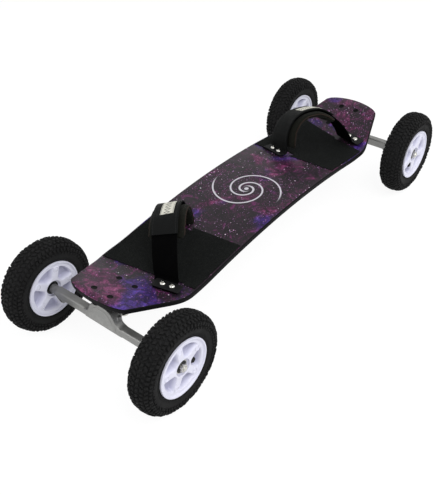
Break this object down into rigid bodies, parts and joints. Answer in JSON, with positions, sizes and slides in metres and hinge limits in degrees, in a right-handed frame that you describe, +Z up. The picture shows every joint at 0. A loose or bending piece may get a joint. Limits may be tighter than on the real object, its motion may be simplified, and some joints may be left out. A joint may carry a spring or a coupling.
{
  "type": "mountainboard",
  "caption": "Off-road board on knobbly pneumatic tyres, with a cambered deck, steering kingpin trucks, bolted hubs and padded foot straps.",
  "frame": {"origin": "on the ground, midway between the four wheels", "axes": "+X to the nose of the board, +Y to its left side, +Z up"},
  "size_m": [1.0684, 0.3936, 0.256],
  "materials": {
    "deck_print": "laminated wood under a glossy dark purple star print",
    "grip": "coarse black grip sheet",
    "black_steel": "black plated steel",
    "webbing": "black woven webbing",
    "pad_cover": "black fabric over foam",
    "black_casting": "satin black casting",
    "grey_casting": "satin cast aluminium",
    "bright_steel": "bright zinc-plated steel",
    "urethane": "smooth black urethane",
    "white_nylon": "white glass-filled nylon, satin",
    "tyre_rubber": "matte black tyre rubber",
    "tube_rubber": "black butyl rubber"
  },
  "bodies": {
    "deck": {"deck": "deck_print", "grip_pad_front": "grip", "grip_pad_rear": "grip", "binding_bracket_front_inboard": "black_steel", "binding_bracket_front_outboard": "black_steel", "binding_bracket_rear_inboard": "black_steel", "binding_bracket_rear_outboard": "black_steel", "binding_strap_front_lower": "webbing", "binding_strap_front_upper": "webbing", "binding_strap_rear_lower": "webbing", "binding_strap_rear_upper": "webbing", "binding_pad_front": "pad_cover", "binding_pad_rear": "pad_cover", "baseplate_front": "black_casting", "pivot_cup_front": "urethane", "kingpin_front": "bright_steel", "bushing_boardside_front": "urethane", "bushing_roadside_front": "urethane", "washer_boardside_front": "bright_steel", "washer_roadside_front": "bright_steel", "baseplate_rear": "black_casting", "pivot_cup_rear": "urethane", "kingpin_rear": "bright_steel", "bushing_boardside_rear": "urethane", "bushing_roadside_rear": "urethane", "washer_boardside_rear": "bright_steel", "washer_roadside_rear": "bright_steel"},
    "truck_front": {"hanger_front": "grey_casting", "axle_front": "bright_steel", "axle_nut_front_left": "bright_steel", "axle_nut_front_right": "bright_steel"},
    "truck_rear": {"hanger_rear": "grey_casting", "axle_rear": "bright_steel", "axle_nut_rear_left": "bright_steel", "axle_nut_rear_right": "bright_steel"},
    "wheel_front_left": {"tyre_front_left": "tyre_rubber", "inner_tube_front_left": "tube_rubber", "hub_outer_front_left": "white_nylon", "hub_inner_front_left": "white_nylon", "bearing_outer_front_left": "bright_steel", "bearing_inner_front_left": "bright_steel"},
    "wheel_front_right": {"tyre_front_right": "tyre_rubber", "inner_tube_front_right": "tube_rubber", "hub_outer_front_right": "white_nylon", "hub_inner_front_right": "white_nylon", "bearing_outer_front_right": "bright_steel", "bearing_inner_front_right": "bright_steel"},
    "wheel_rear_left": {"tyre_rear_left": "tyre_rubber", "inner_tube_rear_left": "tube_rubber", "hub_outer_rear_left": "white_nylon", "hub_inner_rear_left": "white_nylon", "bearing_outer_rear_left": "bright_steel", "bearing_inner_rear_left": "bright_steel"},
    "wheel_rear_right": {"tyre_rear_right": "tyre_rubber", "inner_tube_rear_right": "tube_rubber", "hub_outer_rear_right": "white_nylon", "hub_inner_rear_right": "white_nylon", "bearing_outer_rear_right": "bright_steel", "bearing_inner_rear_right": "bright_steel"}
  },
  "joints": [
    {"name": "steer_front", "type": "hinge", "parent": "deck", "child": "truck_front", "pos_m": [0.428, 0, 0.14599], "axis": [0.7071, 0, 0.7071], "range_deg": [-14, 14], "stiffness_Nm_per_rad": 50, "deforming": ["bushing_boardside_front", "bushing_roadside_front"]},
    {"name": "steer_rear", "type": "hinge", "parent": "deck", "child": "truck_rear", "pos_m": [-0.428, 0, 0.14599], "axis": [-0.7071, 0, 0.7071], "range_deg": [-14, 14], "stiffness_Nm_per_rad": 50, "deforming": ["bushing_boardside_rear", "bushing_roadside_rear"]},
    {"name": "spin_front_left", "type": "hinge", "parent": "truck_front", "child": "wheel_front_left", "pos_m": [0.4342, 0.1698, 0.1], "axis": [0, 1, 0], "continuous": true},
    {"name": "spin_front_right", "type": "hinge", "parent": "truck_front", "child": "wheel_front_right", "pos_m": [0.4342, -0.1698, 0.1], "axis": [0, 1, 0], "continuous": true},
    {"name": "spin_rear_left", "type": "hinge", "parent": "truck_rear", "child": "wheel_rear_left", "pos_m": [-0.4342, 0.1698, 0.1], "axis": [0, 1, 0], "continuous": true},
    {"name": "spin_rear_right", "type": "hinge", "parent": "truck_rear", "child": "wheel_rear_right", "pos_m": [-0.4342, -0.1698, 0.1], "axis": [0, 1, 0], "continuous": true}
  ]
}
